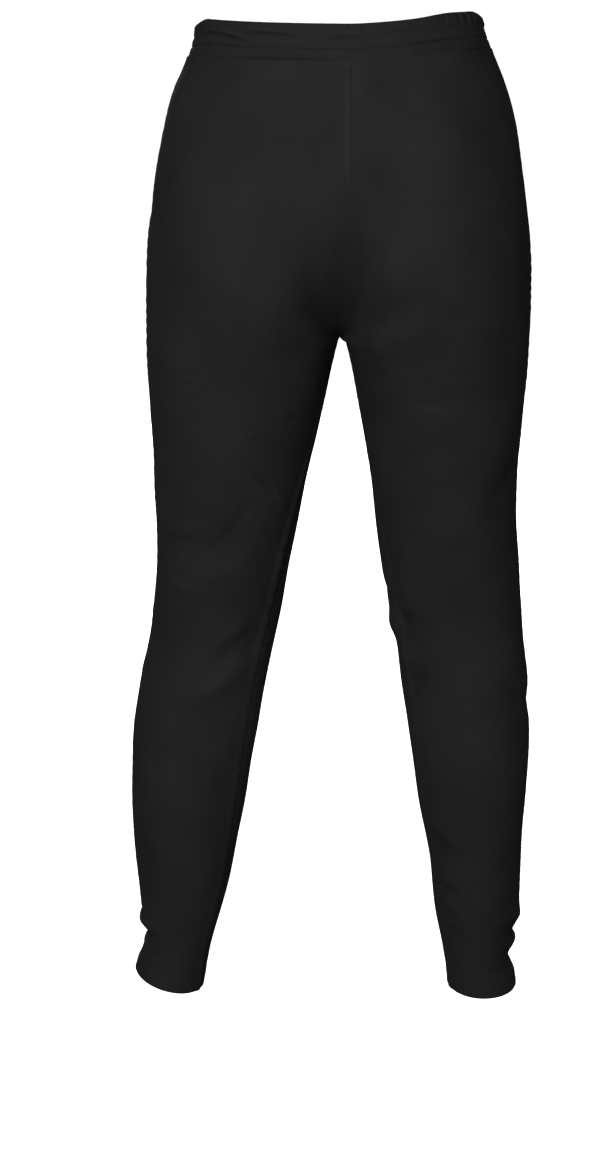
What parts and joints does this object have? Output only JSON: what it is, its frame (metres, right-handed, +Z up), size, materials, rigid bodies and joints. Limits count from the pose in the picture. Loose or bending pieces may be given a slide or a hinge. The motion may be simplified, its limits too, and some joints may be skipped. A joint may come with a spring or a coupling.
{
  "type": "trousers",
  "caption": "Slim ankle-length stretch-cotton trousers with a gathered elastic waistband, hollow and in their worn shape",
  "frame": {"origin": "middle of the waist opening, about half way up the elastic waistband, where the wearer's waist holds the trousers up", "axes": "+Z up along the wearer, +X to the wearer's left, -Y to the front and +Y to the back"},
  "size_m": [0.3951, 0.2529, 0.9694],
  "materials": {
    "black_cotton": "black stretch-cotton twill, matt, with a fine weave and soft creases"
  },
  "bodies": {
    "root": {"waistband": "black_cotton", "front_left": "black_cotton", "front_right": "black_cotton", "back_left": "black_cotton", "back_right": "black_cotton"}
  },
  "joints": []
}
